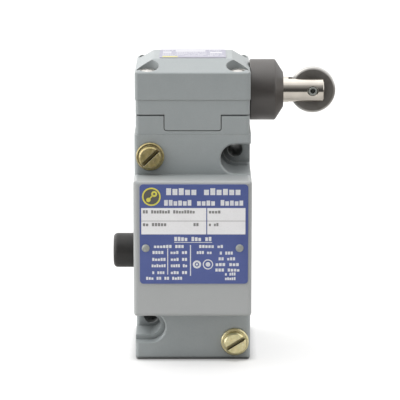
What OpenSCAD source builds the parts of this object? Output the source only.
// Heavy-duty plug-in limit switch with a side roller plunger.
// The origin is the centre of the conduit entry's mouth, on the bottom face. +X is the way that the
// plunger comes out, +Y goes back into the mounting panel and +Z is up. All sizes are millimetres.

/* [Enclosure] */
// Width of the plug-in unit and of the receptacle
body_w = 39.8; // [39.6:0.1:40]
// Height of the receptacle
receptacle_h = 76.7; // [76.5:0.1:76.7]
// Depth of the receptacle, from the seam to the mounting face
receptacle_d = 28; // [27.8:0.1:28.5]
// Depth of the plug-in unit's slab, from the seam to the recessed front
slab_d = 16; // [15.5:0.1:16.5]
// Distance that the raised nameplate box stands proud of the recessed front
box_proud = 11.6; // [11:0.1:12]
// Height of the bottom edge of the raised box
box_z0 = 18.6; // [18:0.1:19]
// Height of the top edge of the raised box
box_z1 = 65.7; // [65:0.1:65.7]
// Extra width of the raised box on each side
box_extra = 0.15; // [0.05:0.05:0.2]
// Radius on the castings' corners
corner_r = 1.3; // [0.8:0.1:1.4]

/* [Head] */
// Width of the head
head_w = 39.4; // [39.2:0.1:39.6]
// Depth of the head, the same on every side so that it can be turned in quarter turns
head_d = 40; // [39.8:0.1:40.2]
// Height of the parting line between the head and the plug-in unit
parting_z = 86.2; // [86:0.1:86.3]
// Height of the head's edge, where the hipped top begins
eave_z = 100.8; // [100.5:0.1:101]
// Height of the flat on the hipped top
plateau_z = 104.3; // [104:0.1:104.6]
// Half width of the flat on the hipped top
plateau_x = 13.3; // [13:0.1:13.6]
// Level distance from the head's front or rear face to the flat on top
slope_run = 9.4; // [9:0.1:9.6]
// Half width of each locating tab
tab_x = 9.6; // [9.4:0.1:9.8]
// Height of the tabs' lower edge
tab_z = 80.9; // [80.7:0.1:81.1]
// Distance of the head screws from the head's centre, along X and along Y
head_screw_at = 15.3; // [15.2:0.1:15.4]

/* [Roller plunger] */
// Height of the plunger's axis
plunger_z = 91.9; // [91.8:0.1:92]
// Radius of the plunger rod
rod_r = 4.45; // [4.35:0.05:4.5]
// Outer end of the plunger rod at rest
rod_end = 45.45; // [45.2:0.05:45.6]
// Roller centre at rest
roller_x = 41.6; // [41.5:0.1:41.7]
// Roller radius, for a 5/8 inch roller
roller_r = 7.95; // [7.9:0.05:8]
// Roller thickness
roller_t = 3.5; // [3.4:0.1:3.5]
// Full travel of the plunger
plunger_travel = 3; // [2.8:0.1:3]
// Radius of the bushing's collar
collar_r = 10.55; // [10.4:0.05:10.6]
// Outer end of the collar's straight part
collar_x1 = 28.5; // [28.3:0.1:28.6]
// Outer end of the bushing's nose
nose_x = 31.35; // [31.2:0.05:31.4]
// Radius of the bushing's nose face
nose_r = 6.15; // [6.1:0.05:6.2]

/* [Push button] */
// Height of the button's axis
button_z = 38.7; // [38.2:0.1:39.2]
// Depth position of the button's axis
button_y = -27.8; // [-28.2:0.1:-27.5]
// Radius of the button
button_r = 5.9; // [5.8:0.05:5.95]
// Outer face of the button at rest
button_x = -27.2; // [-27.4:0.1:-27]

/* [Mounting] */
// Distance between the mounting holes along X
mount_dx = 29.46; // [29.4:0.01:29.5]
// Distance between the mounting holes along Z
mount_dz = 59.44; // [59.4:0.01:59.5]
// Height of the lower mounting hole
mount_z0 = 11.58; // [11.5:0.01:11.6]
// Radius of the mounting holes
mount_hole_r = 2.6; // [2.5:0.05:2.75]
// Radius of the conduit entry's wall, for a half-inch conduit thread
conduit_r = 9.6; // [9.5:0.05:9.6]

/* [Hidden] */

round_fn = 64;
eps = 0.1;

// Planes of the enclosure along Y
seam_y = -14;
seam_gap = 0.1;
slab_y = seam_y - slab_d;
box_y = slab_y - box_proud;
rear_y = seam_y + receptacle_d;
half_w = body_w / 2;

// Head and shoulder: the head's square is centred on the operating pin
head_y = slab_y + head_d / 2;
shoulder_z = receptacle_h + 0.2;
shoulder_top = parting_z - 0.12;
head_z = parting_z + 0.13;
tab_t = 4;
tab_gap = 0.25;
waist_z0 = 79.4;
waist_z1 = 91.4;
waist_in = 0.25;

// Cavity of the plug-in unit
cavity_x = 16.5;
cavity_z0 = 20;
cavity_z1 = 64;
cavity_y = box_y + 2.5;

// Receptacle's wiring chamber, flange and pockets
chamber_z0 = 18;
chamber_y = 11;
screw_seat_y = -12;
relief_d = 0.7;
relief_corner_r = 3;
unit_pocket_r = 5.25;
pocket_bevel = 0.45;
lower_seat_y = slab_y + 3.9;
inner_pocket_r = [4.2, 3.55];
mount_xz = [
    [mount_dx / 2, mount_z0 + mount_dz],
    [-mount_dx / 2, mount_z0]
];

// Pads that meet across the seam, under and over the gasket
pad_half_x = 8;
pad_z = [[1, 16], [67.6, 76]];

// Gasket between the receptacle and the plug-in unit, cut back round the mounting pockets
gasket_z = 42;
gasket_half_x = 18.8;
gasket_half_z = 25;
gasket_lip = 0.25;
gasket_notch_r = unit_pocket_r + 0.5;
groove_d = 0.45;
gasket_t = 0.46;

// Captive screws that hold the plug-in unit on
captive_upper = [-14.5, 72];
captive_lower = [14.6, 6.6];
captive_hole_r = 2.4;
captive_thread_r = 2.2;
captive_end_y = -2;
captive_hole_end_y = -1;

// Operating pin, its push disc and the ramp that drives it
pin_travel = 2.5;
pin_r = 2.5;
ball_r = 2;
ball_z = plunger_z - 2.9;
ramp_k = pin_travel / plunger_travel;
ramp_gap = 0.04;
disc_r = 9.8;
disc_z = 81.9;
disc_t = 1.4;
boss_z = disc_z + disc_t + 0.1;
boss_r = 9.9;
recess_r = 10.5;
recess_z = 79.2;
spring_well_z = 77.7;
spring_well_r = 5.2;
running = 0.05;
pin_seal_r = 3.88;

// Pockets cored out of the head from below, and the seats of its screws
core_half = [9, 4.2];
core_y = 11;
core_z = 98;
head_seat_z = 97.9;
head_pocket_r = 3.85;
head_screw_r = 1.95;
head_screw_end_z = 79.4;
head_screw_top_z = 101.35;

// Plunger rod's inner details
rod_inner_x = -9.5;
bore_end_x = -17;
spigot_x = 15.8;
spigot_r = 6.5;
seal_x = 18.5;
seal_r = 8.4;
fork_slot = 3.8;
fork_root_x = 33.2;
guide_x = -7;
guide_r = 1.25;
guide_half = 5.8;
roller_pin_r = 1.45;
bush_r = 2.3;
roller_pin_half = 4.2;
roller_pin_bore_r = 0.85;
countersink_r = 1.95;
wiper_x = 27.5;
wiper_t = 2;
wiper_r = 5.6;
nose_relief = 0.6;

// Contact block: two poles stacked along Z, each with a bridge between two pairs of fixed contacts
block_x = 12;
block_y0 = -23;
block_y1 = -15;
block_z0 = 20.6;
block_z1 = 63.4;
carrier_y = -18.5;
carrier_half_x = 2.5;
carrier_rod_r = 2;
carrier_y0 = -21.5;
carrier_y1 = -16.2;
carrier_z0 = 27;
carrier_z1 = 60;
pole_z = [51, 33];
bridge_y = -18.75;
carrier_spring_z = 21.85;
arm_z = 2.2;
arm_t = 0.8;
stab_z = 4.5;
stab_x = 7.5;
stab_w = 3;
stab_end_y = -6.2;

// Terminals in the receptacle, one for each stab
terminal_z = [for (c = pole_z, s = [-1, 1]) c + s * stab_z];
terminal_x = 12.2;
terminal_screw_r = 1.7;
terminal_plate_hole_r = 1.85;
terminal_block_z0 = 24.4;
terminal_block_z1 = 60;

// Captured screws of the contact block and the earth terminal
block_screw_xz = [[9.3, 60.3], [-9.3, 23.4]];
block_screw_r = 1.25;
block_screw_head_r = 2.4;
block_screw_y = -31;
block_screw_seat_y = -17;
block_boss_r = 2.6;
ground_xz = [12.5, 21.4];
ground_end_y = 12.6;
ground_screw_r = 1.5;

// Push button
button_bore_r = button_r + 0.08;
button_inner_x = -19.6;
button_floor_x = -16.2;
button_boss_x = -14.2;
button_stem_r = 2;
button_boss_r = 7.5;
o_ring_x = [-18.7, -17.4];
button_well_x = -24.5;
button_well_r = 4.2;
button_edge_r = 1.4;

// Nameplate
plate_x0 = -17.9;
plate_x1 = 18.8;
plate_z0 = 30.2;
plate_z1 = 64.6;
plate_t = 0.4;
plate_corner_r = 1.2;
rivet_xz = [[-15.9, 42.6], [15.9, 42.6]];
rivet_r = 0.9;
rivet_head_r = 1.35;
rivet_dome = 0.6;
rivet_reach = 2;

// ---------------------------------------------------------------- shared shapes

// Rectangle with true round corners, centred on the origin
module round_rect(w, h, r) {
    square([w, h - 2 * r], center = true);
    square([w - 2 * r, h], center = true);
    for (x = [-1, 1], y = [-1, 1])
        translate([x * (w / 2 - r), y * (h / 2 - r)]) circle(r, $fn = round_fn);
}

// Plain box between two corners
module box(lo, hi) {
    translate(lo) cube(hi - lo);
}

// Box between two corners with every edge rounded
module round_box(lo, hi, r) {
    size = hi - lo;
    translate((lo + hi) / 2) intersection() {
        translate([0, 0, -size.z / 2]) linear_extrude(size.z) round_rect(size.x, size.y, r);
        translate([0, size.y / 2, 0]) rotate([90, 0, 0])
            linear_extrude(size.y) round_rect(size.x, size.z, r);
        translate([-size.x / 2, 0, 0]) rotate([90, 0, 90])
            linear_extrude(size.x) round_rect(size.y, size.z, r);
    }
}

// Cylinders along each axis, from one coordinate to another
module rod_x(x0, x1, y, z, r, fn = 64) {
    translate([x0, y, z]) rotate([0, 90, 0]) cylinder(h = x1 - x0, r = r, $fn = fn);
}

module rod_y(x, y0, y1, z, r, fn = 64) {
    translate([x, y1, z]) rotate([90, 0, 0]) cylinder(h = y1 - y0, r = r, $fn = fn);
}

module rod_z(x, y, z0, z1, r, fn = 64) {
    translate([x, y, z0]) cylinder(h = z1 - z0, r = r, $fn = fn);
}

// A half profile of [radius, distance] points turned about the X axis at the plunger's height
module turned_x(x, y, z, points) {
    translate([x, y, z]) rotate([0, 90, 0]) rotate_extrude($fn = round_fn) polygon(points);
}

// A half profile of [radius, distance] points turned about a line along -Y, towards the front
module turned_front(x, y, z, points) {
    translate([x, y, z]) rotate([90, 0, 0]) rotate_extrude($fn = round_fn) polygon(points);
}

// Points of a quarter arc from angle a0 to a0 + 90 about a centre
function quarter(cx, cy, r, a0, steps = 5) =
    [for (i = [0 : steps]) [cx + r * cos(a0 + 90 * i / steps), cy + r * sin(a0 + 90 * i / steps)]];

// Ring points of a helical wire and the triangles that join them
function coil_point(mean_r, wire_r, length, turns, i, steps, side, sides) =
    let (
        turn = 360 * turns * i / steps,
        a = 360 * side / sides,
        rr = mean_r + wire_r * cos(a)
    )
    [rr * cos(turn), rr * sin(turn), wire_r + (length - 2 * wire_r) * i / steps + wire_r * sin(a)];

module coil(mean_r, wire_r, length, turns) {
    sides = 6;
    steps = ceil(14 * turns);
    points = [
        for (i = [0 : steps], k = [0 : sides - 1])
            coil_point(mean_r, wire_r, length, turns, i, steps, k, sides)
    ];
    skin = [
        for (i = [0 : steps - 1], k = [0 : sides - 1])
            let (n = (k + 1) % sides)
            [i * sides + k, i * sides + n, (i + 1) * sides + n, (i + 1) * sides + k]
    ];
    first = [for (k = [sides - 1 : -1 : 0]) k];
    last = [for (k = [0 : sides - 1]) steps * sides + k];
    polyhedron(points, concat([first], skin, [last]));
}

// A washer or ring along Z
module ring(z0, z1, r_in, r_out) {
    translate([0, 0, z0]) difference() {
        cylinder(h = z1 - z0, r = r_out, $fn = round_fn);
        translate([0, 0, -eps]) cylinder(h = z1 - z0 + 2 * eps, r = r_in, $fn = round_fn);
    }
}

// A U-shaped slot that is round at a mounting hole and open to the nearer side
module side_pocket(xz, r, y0, y1) {
    side = sign(xz.x);
    rod_y(xz.x, y0, y1, xz.y, r);
    box(
        [min(xz.x, side * (half_w + 1)), y0, xz.y - r],
        [max(xz.x, side * (half_w + 1)), y1, xz.y + r]
    );
}

// Bevel round the mouth of such a slot, on the recessed front
module pocket_mouth(xz, r) {
    side = sign(xz.x);
    translate([xz.x, slab_y, xz.y]) {
        rotate([-90, 0, 0]) translate([0, 0, -pocket_bevel])
            cylinder(h = 2 * pocket_bevel, r1 = r + 2 * pocket_bevel, r2 = r, $fn = round_fn);
        rotate([90, 0, side * 90]) linear_extrude(half_w) polygon([
            [side * pocket_bevel, r], [-side * pocket_bevel, r + 2 * pocket_bevel],
            [-side * pocket_bevel, -r - 2 * pocket_bevel], [side * pocket_bevel, -r]
        ]);
    }
}

// The four places of the head screws
module at_head_screws() {
    for (x = [-1, 1], y = [-1, 1])
        translate([x * head_screw_at, head_y + y * head_screw_at, 0]) children();
}

// The four sides of the head, for the tabs and their notches
module on_four_sides() {
    for (a = [0 : 90 : 270])
        translate([0, head_y, 0]) rotate([0, 0, a]) children();
}

// Shallow band that is taken off all round, between two heights
module waist(z0, z1) {
    translate([0, head_y, z0]) difference() {
        translate([-30, -30, 0]) cube([60, 60, z1 - z0]);
        translate([0, 0, -eps]) linear_extrude(z1 - z0 + 2 * eps)
            round_rect(head_w - 2 * waist_in, head_d - 2 * waist_in, corner_r);
    }
}

// ---------------------------------------------------------------- receptacle

module receptacle() {
    color("#8e9292") difference() {
        round_box([-half_w, seam_y + seam_gap, 0], [half_w, rear_y, receptacle_h], corner_r);
        box([-cavity_x, seam_y, chamber_z0], [cavity_x, chamber_y, cavity_z1]);
        rod_z(0, 0, -eps, chamber_z0 + eps, conduit_r);
        side_pocket(mount_xz[0], inner_pocket_r[0], seam_y, screw_seat_y);
        for (at = mount_xz)
            rod_y(at.x, seam_y, rear_y + eps, at.y, mount_hole_r);
        translate([0, rear_y + 1, (chamber_z0 + cavity_z1) / 2]) rotate([90, 0, 0])
            linear_extrude(1 + relief_d)
                round_rect(2 * cavity_x, cavity_z1 - chamber_z0, relief_corner_r);
        for (at = [captive_upper, captive_lower])
            rod_y(at.x, seam_y, captive_hole_end_y, at.y, captive_thread_r + running);
        rod_y(ground_xz.x, chamber_y - eps, ground_end_y + 0.1, ground_xz.y, ground_screw_r + running);
    }
}

module terminal_block() {
    front_half_x = 16.2;
    barrier_x = 9.2;
    barrier_front_y = -3;
    barrier_half_t = 0.6;
    hole_end_y = 8.5;
    groove_half_x = 3.5;
    groove_end_y = 6;
    groove_margin = 3;
    barrier_z = [for (k = [0 : 4]) min(terminal_z) - stab_z + 2 * stab_z * k];
    color("#25272a") difference() {
        union() {
            box([-front_half_x, 0, terminal_block_z0], [front_half_x, chamber_y - 0.1, terminal_block_z1]);
            for (z = barrier_z, x = [-front_half_x, barrier_x])
                box(
                    [x, barrier_front_y, z - barrier_half_t],
                    [x + front_half_x - barrier_x, 0.5, z + barrier_half_t]
                );
        }
        for (z = terminal_z, x = [-1, 1])
            rod_y(x * terminal_x, -eps, hole_end_y, z, terminal_screw_r + running);
        box(
            [-groove_half_x, -eps, terminal_block_z0 + groove_margin],
            [groove_half_x, groove_end_y, terminal_block_z1 - groove_margin]
        );
    }
}

module terminal_screws() {
    end_y = 8;
    head_r = 2.95;
    head_under = 9.75;
    head_top = 11.8;
    round_r = 0.6;
    slot = [7, 1.6, 0.9];
    color("#b9bcbf") for (z = terminal_z, x = [-1, 1]) difference() {
        turned_front(x * terminal_x, end_y, z, concat(
            [[0, 0], [terminal_screw_r, 0], [terminal_screw_r, head_under], [head_r, head_under]],
            quarter(head_r - round_r, head_top - round_r, round_r, 0),
            [[0, head_top]]
        ));
        translate([x * terminal_x, end_y - head_top + 0.2, z]) rotate([0, 30, 0]) cube(slot, center = true);
    }
}

module terminal_clamps() {
    half = [3.4, 3.3];
    front_y = -1.7;
    back_y = -0.85;
    color("#c9b15a") for (z = terminal_z, x = [-1, 1]) difference() {
        round_box(
            [x * terminal_x - half.x, front_y, z - half.y],
            [x * terminal_x + half.x, back_y, z + half.y],
            0.4
        );
        rod_y(x * terminal_x, front_y - 1, back_y + 1, z, terminal_plate_hole_r);
    }
}

// Each jack is a plate under its terminal screw with two tines that grip a stab
module jack_contacts() {
    plate_x = [5.7, 15.4];
    plate_y = [-0.82, -0.02];
    plate_half_z = 3;
    tine_x1 = 8.6;
    tine_y0 = -9;
    tine_z = 0.75;
    tine_half_t = 0.3;
    color("#c58a4a") for (z = terminal_z, side = [0, 1]) mirror([side, 0, 0]) difference() {
        union() {
            box([plate_x[0], plate_y[0], z - plate_half_z], [plate_x[1], plate_y[1], z + plate_half_z]);
            for (s = [-1, 1])
                box(
                    [plate_x[0], tine_y0, z + s * tine_z - tine_half_t],
                    [tine_x1, plate_y[0] + 0.02, z + s * tine_z + tine_half_t]
                );
        }
        rod_y(terminal_x, -2, 1, z, terminal_plate_hole_r);
    }
}

module ground_screw() {
    head_r = 2.5;
    head_under = 2.42;
    head_top = 4.1;
    color("#3d7a45") difference() {
        turned_front(ground_xz.x, ground_end_y, ground_xz.y, [
            [0, 0], [ground_screw_r, 0], [ground_screw_r, head_under], [head_r, head_under],
            [head_r, head_top - 0.4], [head_r - 0.4, head_top], [0, head_top]
        ]);
        translate([ground_xz.x, ground_end_y - head_top, ground_xz.y]) cube([7, 1.2, 0.8], center = true);
    }
}

module ground_clamp() {
    washer_r = 2.8;
    washer_t = 0.8;
    color("#c9b15a") difference() {
        rod_y(ground_xz.x, chamber_y - washer_t, chamber_y - 0.02, ground_xz.y, washer_r);
        rod_y(ground_xz.x, chamber_y - 2, chamber_y + 1, ground_xz.y, ground_screw_r + 0.2);
    }
}

// Outline of the groove, or of the gasket when it is drawn in by a clearance
module gasket_outline(clearance) {
    difference() {
        round_rect(2 * (gasket_half_x + 0.1 - clearance), 2 * (gasket_half_z + 0.1 - clearance), 3);
        for (at = mount_xz) {
            notch_r = gasket_notch_r + clearance;
            translate([at.x, at.y - gasket_z]) circle(notch_r, $fn = round_fn);
            translate([at.x + sign(at.x) * 5, at.y - gasket_z]) square([10, 2 * notch_r], center = true);
        }
    }
}

module body_gasket() {
    color("#1d1e1f") translate([0, seam_y + seam_gap - 0.02, gasket_z]) rotate([90, 0, 0])
        linear_extrude(gasket_t) difference() {
            gasket_outline(0.1);
            round_rect(2 * (cavity_x + gasket_lip), cavity_z1 - cavity_z0 + 2 * gasket_lip, 1.5);
        }
}

// ---------------------------------------------------------------- plug-in unit

// Slab, raised nameplate box and the shoulder that carries the head
module unit_outline() {
    intersection() {
        round_box([-half_w, slab_y, 0], [half_w, slab_y + head_d, shoulder_top], corner_r);
        union() {
            box([-half_w, slab_y, 0], [half_w, seam_y - seam_gap, shoulder_top]);
            box([-half_w, slab_y, shoulder_z], [half_w, slab_y + head_d, shoulder_top]);
        }
    }
    intersection() {
        round_box(
            [-half_w - box_extra, box_y, box_z0],
            [half_w + box_extra, seam_y, box_z1],
            corner_r
        );
        box([-30, box_y - 1, 0], [30, slab_y + 2, shoulder_z]);
    }
}

// Room in the shoulder for the push disc, its spring and the contact carrier's plunger
module shoulder_bores() {
    screw_hole_z0 = 79;
    screw_hole_r = 2;
    seat_w = 30.8;
    seat_d = 0.35;
    rod_z(0, head_y, recess_z, parting_z + 1, recess_r);
    rod_z(0, head_y, spring_well_z, recess_z + eps, spring_well_r);
    rod_z(0, carrier_y, cavity_z1 - eps, recess_z + eps, carrier_rod_r + running);
    at_head_screws() translate([0, 0, screw_hole_z0]) cylinder(h = 10, r = screw_hole_r, $fn = round_fn);
    translate([0, head_y, shoulder_top - seat_d]) linear_extrude(1) square(seat_w, center = true);
}

// Notch for one locating tab, in the shoulder's front
module tab_notch() {
    half = tab_x + tab_gap;
    translate([0, -head_d / 2 + tab_t + tab_gap, 0]) rotate([90, 0, 0]) linear_extrude(tab_t + 2) {
        translate([-half, tab_z - tab_gap + 1]) square([2 * half, 8]);
        translate([0, tab_z - tab_gap + 2]) round_rect(2 * half, 4, 1);
    }
}

module switch_body() {
    color("#8e9292") difference() {
        union() {
            difference() {
                unit_outline();
                box([-cavity_x, cavity_y, cavity_z0], [cavity_x, seam_y, cavity_z1]);
            }
            rod_x(-cavity_x - 1, button_boss_x, button_y, button_z, button_boss_r);
            for (at = block_screw_xz)
                rod_y(at.x, cavity_y - 1, block_y0 - 0.05, at.y, block_boss_r);
            for (z = pad_z)
                box([-pad_half_x, seam_y - 1, z[0]], [pad_half_x, seam_y + seam_gap - 0.01, z[1]]);
        }
        waist(waist_z0, parting_z + 1);
        shoulder_bores();
        on_four_sides() tab_notch();
        side_pocket(mount_xz[0], unit_pocket_r, slab_y - 1, seam_y);
        side_pocket(mount_xz[1], unit_pocket_r, slab_y - 1, lower_seat_y);
        side_pocket(mount_xz[1], inner_pocket_r[1], slab_y, seam_y);
        for (at = mount_xz)
            pocket_mouth(at, unit_pocket_r);
        for (at = [captive_upper, captive_lower])
            rod_y(at.x, slab_y - 1, seam_y, at.y, captive_hole_r);
        for (at = block_screw_xz)
            rod_y(at.x, block_screw_y - 2, block_y0 + 1, at.y, block_screw_r + running);
        for (at = rivet_xz)
            rod_y(at.x, box_y - 1, box_y + rivet_reach + 0.1, at.y, rivet_r + running);
        rod_x(-30, button_floor_x, button_y, button_z, button_bore_r);
        rod_x(o_ring_x[0], o_ring_x[1], button_y, button_z, button_r + 1);
        rod_x(button_floor_x - 1, button_boss_x + 1, button_y, button_z, button_stem_r + running);
        translate([0, seam_y, gasket_z]) rotate([90, 0, 0]) linear_extrude(groove_d) gasket_outline(0);
    }
}

module nameplate() {
    color("#50589a") difference() {
        translate([(plate_x0 + plate_x1) / 2, box_y, (plate_z0 + plate_z1) / 2]) rotate([90, 0, 0])
            linear_extrude(plate_t) round_rect(plate_x1 - plate_x0, plate_z1 - plate_z0, plate_corner_r);
        for (at = rivet_xz)
            rod_y(at.x, box_y - 2, box_y + 1, at.y, rivet_r + running);
    }
}

// Drive rivets with low domed heads
module nameplate_rivets() {
    seat = rivet_reach + plate_t;
    color("#a9acab") for (at = rivet_xz)
        turned_front(at.x, box_y + rivet_reach, at.y, [
            [0, 0], [rivet_r, 0.2], [rivet_r, seat], [rivet_head_r, seat],
            [0.95 * rivet_head_r, seat + 0.37 * rivet_dome], [0.7 * rivet_head_r, seat + 0.75 * rivet_dome],
            [0.37 * rivet_head_r, seat + 0.95 * rivet_dome], [0, seat + rivet_dome]
        ]);
}

// Captive screw: flange, raised slotted drum and threaded shank. tilt turns the slot.
module captive_screw(at, tilt) {
    reach = captive_end_y - slab_y;
    flange_r = 4.8;
    flange_t = 1.05;
    drum_r = 3.85;
    drum_top = 3.5;
    bevel = 0.5;
    slot_w = 1.35;
    slot_floor = 1.7;
    difference() {
        turned_front(at.x, captive_end_y, at.y, [
            [0, 0], [captive_thread_r - bevel, 0], [captive_thread_r, 0.6], [captive_thread_r, reach],
            [flange_r - 0.1, reach], [flange_r, reach + 0.15], [flange_r, reach + flange_t - 0.3],
            [flange_r - 0.3, reach + flange_t], [drum_r + 0.1, reach + flange_t],
            [drum_r, reach + flange_t + 0.15], [drum_r, reach + drum_top - bevel],
            [drum_r - bevel, reach + drum_top], [0, reach + drum_top]
        ]);
        translate([at.x, slab_y - slot_floor, at.y]) rotate([0, -tilt, 0])
            box([-5, -3, -slot_w / 2], [5, 0, slot_w / 2]);
    }
}

module captive_screw_upper() {
    color("#b39a52") captive_screw(captive_upper, 43.6);
}

module captive_screw_lower() {
    color("#b39a52") captive_screw(captive_lower, 32.5);
}

// ---------------------------------------------------------------- contact block

module contact_block_base() {
    rear_wall = 0.9;
    channel_half_x = 2.65;
    channel_z0 = 21.8;
    pole_half = [10.6, 5.1];
    color("#5b2a22") difference() {
        box([-block_x, block_y0, block_z0], [block_x, block_y1, block_z1]);
        box(
            [-channel_half_x, block_y0 - 1, channel_z0],
            [channel_half_x, block_y1 - rear_wall, block_z1 + 1]
        );
        for (c = pole_z) {
            box(
                [-pole_half.x, block_y0 - 1, c - pole_half.y],
                [pole_half.x, block_y1 - rear_wall, c + pole_half.y]
            );
            for (x = [-1, 1], s = [-1, 1])
                translate([x * stab_x, block_y1, c + s * stab_z])
                    cube([stab_w + 0.1, 4, arm_t + 0.1], center = true);
        }
        for (at = block_screw_xz) {
            rod_y(at.x, block_y0 - 1, block_y1 + 1, at.y, block_screw_r + 0.15);
            rod_y(at.x, block_screw_seat_y, block_y1 + 1, at.y, block_screw_head_r + 0.2);
        }
    }
}

module contact_block_cover() {
    outer = [7.8, -37.6, 26];
    wall = 1.2;
    top_z = 57;
    color("#6b3a30") difference() {
        round_box([-outer.x, outer.y, outer.z], [outer.x, block_y0 + 3, top_z], 1);
        box([wall - outer.x, outer.y + wall, outer.z + wall], [outer.x - wall, block_y0 + 4, top_z - wall]);
        box([-20, block_y0 - 0.05, 10], [20, block_y0 + 5, 70]);
    }
}

module contact_block_screws() {
    under_head = block_screw_seat_y + 0.05 - block_screw_y;
    head_top = under_head + 1.55;
    color("#b9bcbf") for (at = block_screw_xz) difference() {
        translate([at.x, block_screw_y, at.y]) rotate([-90, 0, 0]) rotate_extrude($fn = round_fn) polygon([
            [0, 0], [block_screw_r, 0], [block_screw_r, under_head], [block_screw_head_r, under_head],
            [block_screw_head_r, head_top - 0.4], [block_screw_head_r - 0.4, head_top], [0, head_top]
        ]);
        translate([at.x, block_screw_y + head_top, at.y]) cube([6, 1.6, 0.7], center = true);
    }
}

// Each fixed contact is a bent strip: arm, riser and the stab that plugs into the receptacle
module fixed_contacts() {
    arm_x = [4.6, 10.4];
    arm_y = [-21, -16.9];
    riser_y = [-17, -16.1];
    half_t = arm_t / 2;
    stab_x0 = stab_x - stab_w / 2;
    stab_x1 = stab_x + stab_w / 2;
    color("#c58a4a") for (c = pole_z, side = [0, 1], s = [-1, 1]) mirror([side, 0, 0]) {
        arm = c + s * arm_z;
        stab = c + s * stab_z;
        box([arm_x[0], arm_y[0], arm - half_t], [arm_x[1], arm_y[1], arm + half_t]);
        box([stab_x0, riser_y[0], min(arm, stab) - half_t], [stab_x1, riser_y[1], max(arm, stab) + half_t]);
        box([stab_x0, riser_y[0], stab - half_t], [stab_x1, stab_end_y, stab + half_t]);
    }
}

// Plunger and crossbar that carry the moving bridges
module contact_carrier() {
    window = [[-5, -20.6, -1.2], [5, -16.9, 1.57]];
    color("#d9d5c8") difference() {
        union() {
            box([-carrier_half_x, carrier_y0, carrier_z0], [carrier_half_x, carrier_y1, carrier_z1]);
            rod_z(0, carrier_y, carrier_z1 - 1, disc_z - 0.05, carrier_rod_r);
        }
        for (c = pole_z)
            translate([0, 0, c]) box(window[0], window[1]);
    }
}

module contact_bridges() {
    bridge = [[-9.6, -20.5, 0.95], [9.6, -17, 1.55]];
    tip_z = [0.76, 1.75];
    tip_r = 1.2;
    color("#c9854a") for (c = pole_z) {
        translate([0, 0, c]) box(bridge[0], bridge[1]);
        for (x = [-1, 1])
            rod_z(x * stab_x, bridge_y, c + tip_z[0], c + tip_z[1], tip_r);
    }
}

module contact_springs() {
    color("#b9bcbf") for (c = pole_z)
        translate([0, bridge_y, c - 1.18]) coil(mean_r = 1.2, wire_r = 0.2, length = 2.1, turns = 3);
}

module carrier_spring() {
    color("#b9bcbf") translate([0, -18.85, carrier_spring_z])
        coil(mean_r = 1.8, wire_r = 0.25, length = carrier_z0 - carrier_spring_z - 0.05, turns = 4.5);
}

// ---------------------------------------------------------------- head

module head_gasket() {
    color("#1d1e1f") translate([0, head_y, shoulder_top - 0.34]) linear_extrude(head_z - shoulder_top + 0.33)
        difference() {
            square(30.4, center = true);
            circle(recess_r + 0.1, $fn = round_fn);
            for (x = [-1, 1], y = [-1, 1])
                translate([x, y] * head_screw_at) circle(2.5, $fn = round_fn);
        }
}

// Outline of the hipped top, seen along the other level axis
module hipped(half, flat_half) {
    polygon([
        [-half, tab_z - 1], [half, tab_z - 1], [half, eave_z - 0.35], [half - 0.35, eave_z],
        [flat_half + 0.3, plateau_z - 0.05], [flat_half - 0.3, plateau_z],
        [-flat_half + 0.3, plateau_z], [-flat_half - 0.3, plateau_z - 0.05],
        [-half + 0.35, eave_z], [-half, eave_z - 0.35]
    ]);
}

module head_block() {
    translate([0, head_y, 0]) intersection() {
        translate([0, 0, tab_z - 1]) linear_extrude(30) round_rect(head_w, head_d, corner_r);
        translate([0, 30, 0]) rotate([90, 0, 0]) linear_extrude(60) hipped(head_w / 2, plateau_x);
        translate([-30, 0, 0]) rotate([90, 0, 90]) linear_extrude(60)
            hipped(head_d / 2, head_d / 2 - slope_run);
    }
}

// Keeps only the tabs of what lies under the parting line
module under_parting() {
    difference() {
        translate([-30, head_y - 30, 60]) cube([60, 60, head_z - 60]);
        on_four_sides() translate([0, -head_d / 2 + tab_t, 0]) rotate([90, 0, 0]) linear_extrude(tab_t + 2) {
            translate([-tab_x, tab_z + 1]) square([2 * tab_x, 8]);
            translate([0, tab_z + 2]) round_rect(2 * tab_x, 4, 0.8);
        }
        rod_z(0, head_y, boss_z, 90, boss_r);
    }
}

module head_housing() {
    color("#8e9292") difference() {
        head_block();
        under_parting();
        waist(tab_z - 2, waist_z1);
        rod_x(bore_end_x, spigot_x + 1, head_y, plunger_z, rod_r + running);
        rod_x(spigot_x - 0.1, 30, head_y, plunger_z, spigot_r + 0.05);
        rod_x(seal_x, 30, head_y, plunger_z, seal_r);
        rod_z(0, head_y, boss_z - 1, plunger_z, pin_r + running);
        rod_z(0, head_y, boss_z - 1, boss_z + 1, pin_seal_r + 0.02);
        box(
            [guide_x - plunger_travel - guide_r - 0.1, head_y - guide_half - 0.2, 80],
            [guide_x + guide_r + 0.1, head_y + guide_half + 0.2, plunger_z + guide_r + 0.05]
        );
        for (s = [-1, 1])
            box(
                [-core_half.x, head_y + s * core_y - core_half.y, 80],
                [core_half.x, head_y + s * core_y + core_half.y, core_z]
            );
        at_head_screws() {
            translate([0, 0, 80]) cylinder(h = 30, r = head_screw_r + 0.2, $fn = round_fn);
            translate([0, 0, head_seat_z]) cylinder(h = 10, r = head_pocket_r, $fn = round_fn);
        }
    }
}

module head_label() {
    label_w = 22.9;
    label_t = 0.18;
    margin = 0.7;
    color("#8f8fb4") translate([0, head_y, plateau_z]) linear_extrude(label_t)
        round_rect(label_w, head_d - 2 * (slope_run + margin), 0.8);
}

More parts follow.
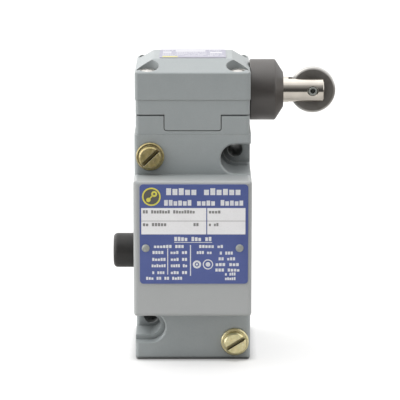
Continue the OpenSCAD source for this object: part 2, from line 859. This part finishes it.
// Slotted pan-head screws
module head_screws() {
    slots = [20, -35, 70, 5];
    length = head_screw_top_z - head_screw_end_z;
    under_head = head_seat_z - head_screw_end_z + 0.02;
    head_r = 3.6;
    rim = under_head + 2.3;
    tip_r = 1.6;
    slot = [9, 1.1, 1.1];
    color("#c4c6c8") for (i = [0 : 3])
        translate([
            (i % 2 == 0 ? -1 : 1) * head_screw_at,
            head_y + (i < 2 ? -1 : 1) * head_screw_at,
            head_screw_end_z
        ])
        difference() {
            rotate_extrude($fn = round_fn) polygon([
                [0, 0], [tip_r, 0], [head_screw_r, 0.5], [head_screw_r, under_head], [head_r, under_head],
                [head_r, rim], [head_r - 0.25, rim + 0.5], [head_r - 0.8, rim + 0.8],
                [head_r - 1.8, length - 0.1], [head_r - 2.8, length], [0, length]
            ]);
            translate([0, 0, length]) rotate([0, 0, slots[i]]) cube(slot + [0, 0, slot.z], center = true);
        }
}

// Pin with the push disc that presses the contact carrier, whichever way the head is turned
module operating_pin() {
    color("#c4c6c8") difference() {
        union() {
            rod_z(0, head_y, disc_z, ball_z - 0.4, pin_r);
            rod_z(0, head_y, disc_z, disc_z + disc_t, disc_r);
        }
        translate([0, head_y, ball_z]) sphere(ball_r + 0.02, $fn = round_fn);
    }
}

module follower_ball() {
    color("#e2e4e6") translate([0, head_y, ball_z]) sphere(ball_r, $fn = round_fn);
}

module pin_spring() {
    color("#b9bcbf") translate([0, head_y, spring_well_z + 0.02])
        coil(mean_r = 4.3, wire_r = 0.28, length = disc_z - spring_well_z - 0.05, turns = 2.5);
}

module pin_seal() {
    color("#1d1e1f") translate([0, head_y, 0]) ring(boss_z + 0.05, boss_z + 0.98, pin_r + 0.02, pin_seal_r);
}

// ---------------------------------------------------------------- roller plunger

module plunger_bushing() {
    side = head_w / 2;
    color("#4a4440") difference() {
        turned_x(0, head_y, plunger_z, [
            [0, spigot_x], [spigot_r, spigot_x], [spigot_r, side + 0.02], [collar_r - 0.3, side + 0.02],
            [collar_r, side + 0.32], [collar_r, collar_x1 - 0.25], [collar_r - 0.2, collar_x1 + 0.1],
            [nose_r + 0.25, nose_x - 0.22], [nose_r - 0.15, nose_x], [0, nose_x]
        ]);
        rod_x(spigot_x - 1, nose_x + 1, head_y, plunger_z, rod_r + running);
        rod_x(nose_x - nose_relief, nose_x + 1, head_y, plunger_z, rod_r + 0.3);
        rod_x(wiper_x, wiper_x + wiper_t, head_y, plunger_z, wiper_r);
    }
}

module bushing_o_ring() {
    color("#1d1e1f") translate([0, head_y, plunger_z]) rotate([0, 90, 0])
        ring(seal_x + 0.05, head_w / 2, spigot_r + 0.05, seal_r - 0.05);
}

module plunger_wiper() {
    color("#1d1e1f") translate([0, head_y, plunger_z]) rotate([0, 90, 0])
        ring(wiper_x + 0.02, wiper_x + wiper_t - 0.02, rod_r + 0.02, wiper_r - 0.02);
}

// Rod with the roller's fork at its outer end and the ramp for the operating pin near its inner end
module plunger_rod() {
    normal = sqrt(1 + ramp_k * ramp_k);
    touch_x = (ball_r + ramp_gap) * ramp_k / normal;
    touch_z = ball_z + (ball_r + ramp_gap) / normal;
    notch_top = ball_z + ball_r + 0.3;
    notch_low = plunger_z - rod_r - 1;
    notch_x = -3.6;
    color("#cfcabf") difference() {
        turned_x(0, head_y, plunger_z, [
            [0, rod_inner_x], [rod_r - 0.5, rod_inner_x], [rod_r, rod_inner_x + 0.5],
            [rod_r, rod_end - 0.25], [rod_r - 0.25, rod_end], [0, rod_end]
        ]);
        box(
            [fork_root_x, head_y - fork_slot / 2, plunger_z - 10],
            [rod_end + 1, head_y + fork_slot / 2, plunger_z + 10]
        );
        translate([0, head_y + 6, 0]) rotate([90, 0, 0]) linear_extrude(12) polygon([
            [notch_x, notch_low],
            [touch_x + (touch_z - notch_low) / ramp_k, notch_low],
            [touch_x + (touch_z - notch_top) / ramp_k, notch_top],
            [notch_x, notch_top]
        ]);
        rod_y(guide_x, head_y - 10, head_y + 10, plunger_z, guide_r + 0.01);
        rod_y(roller_x, head_y - 10, head_y + 10, plunger_z, roller_pin_r + 0.01);
        for (s = [-1, 1])
            translate([roller_x, head_y + s * (rod_r + 0.5), plunger_z]) rotate([s * 90, 0, 0])
                cylinder(h = 1.1, r1 = countersink_r + 0.5, r2 = countersink_r - 0.5, $fn = round_fn);
    }
}

// Cross pin that keeps the plunger from turning and from coming out
module guide_pin() {
    color("#9a9c9e") rod_y(guide_x, head_y - guide_half, head_y + guide_half, plunger_z, guide_r);
}

module plunger_spring() {
    color("#b9bcbf") translate([bore_end_x + 0.02, head_y, plunger_z]) rotate([0, 90, 0])
        coil(mean_r = 3.2, wire_r = 0.38, length = rod_inner_x - bore_end_x - 0.05, turns = 4);
}

module roller() {
    half = roller_t / 2;
    bevel = 0.75;
    color("#5c5b58") translate([roller_x, head_y, plunger_z]) rotate([90, 0, 0]) difference() {
        rotate_extrude($fn = 96) polygon([
            [0, -half], [roller_r - bevel, -half], [roller_r - 0.2, -half + 0.3], [roller_r, -half + bevel],
            [roller_r, half - bevel], [roller_r - 0.2, half - 0.3], [roller_r - bevel, half], [0, half]
        ]);
        cylinder(h = 20, r = bush_r, center = true, $fn = round_fn);
    }
}

module roller_bush() {
    color("#a8763c") translate([roller_x, head_y, plunger_z]) rotate([90, 0, 0])
        ring(-roller_t / 2 - 0.1, roller_t / 2 + 0.1, roller_pin_r + 0.04, bush_r - 0.01);
}

// Rivet, drilled out from both ends and flared
module roller_pin() {
    flare_r = roller_pin_r + 0.05;
    flare = 0.35;
    depth = 3;
    mouth_r = roller_pin_bore_r;
    color("#b9bcbf") translate([roller_x, head_y, plunger_z]) rotate([90, 0, 0])
        rotate_extrude($fn = round_fn) polygon([
            [0, depth - roller_pin_half], [mouth_r, depth - roller_pin_half],
            [mouth_r, 0.2 - roller_pin_half], [mouth_r + 0.15, -roller_pin_half],
            [flare_r, -roller_pin_half],
            [roller_pin_r, flare - roller_pin_half], [roller_pin_r, roller_pin_half - flare],
            [flare_r, roller_pin_half], [mouth_r + 0.15, roller_pin_half],
            [mouth_r, roller_pin_half - 0.2], [mouth_r, roller_pin_half - depth],
            [0, roller_pin_half - depth]
        ]);
}

// ---------------------------------------------------------------- push button

module button_cap() {
    length = button_inner_x - button_x;
    color("#1c1c1e") difference() {
        turned_x(button_x, button_y, button_z, concat(
            [[0, 0]],
            quarter(button_r - button_edge_r, button_edge_r, button_edge_r, -90),
            [[button_r, length], [0, length]]
        ));
        rod_x(button_well_x, -18, button_y, button_z, button_well_r);
        rod_x(button_well_x - 1.5, -18, button_y, button_z, button_stem_r);
    }
}

module button_stem() {
    inner_x = button_boss_x + 1.7;
    color("#c4c6c8") rod_x(button_well_x - 1.45, inner_x, button_y, button_z, button_stem_r - 0.01);
}

module button_ring() {
    color("#7d7f82") translate([0, button_y, button_z]) rotate([0, 90, 0])
        ring(button_boss_x + 0.05, button_boss_x + 0.75, button_stem_r, button_well_r - 0.6);
}

module button_spring() {
    color("#b9bcbf") translate([button_well_x + 0.02, button_y, button_z]) rotate([0, 90, 0])
        coil(mean_r = 3.2, wire_r = 0.35, length = button_floor_x - button_well_x - 0.05, turns = 5);
}

module button_o_ring() {
    color("#1d1e1f") translate([0, button_y, button_z]) rotate([0, 90, 0])
        ring(o_ring_x[0] + 0.02, o_ring_x[1] - 0.02, button_r + 0.03, button_r + 0.98);
}

// ---------------------------------------------------------------- nodes

receptacle();
terminal_block();
terminal_screws();
terminal_clamps();
jack_contacts();
ground_screw();
ground_clamp();
body_gasket();
switch_body();
nameplate();
nameplate_rivets();
captive_screw_upper();
captive_screw_lower();
contact_block_base();
contact_block_cover();
contact_block_screws();
fixed_contacts();
contact_carrier();
contact_bridges();
contact_springs();
carrier_spring();
head_gasket();
head_housing();
head_label();
head_screws();
operating_pin();
follower_ball();
pin_spring();
pin_seal();
plunger_bushing();
bushing_o_ring();
plunger_wiper();
plunger_rod();
guide_pin();
plunger_spring();
roller();
roller_bush();
roller_pin();
button_cap();
button_stem();
button_ring();
button_spring();
button_o_ring();
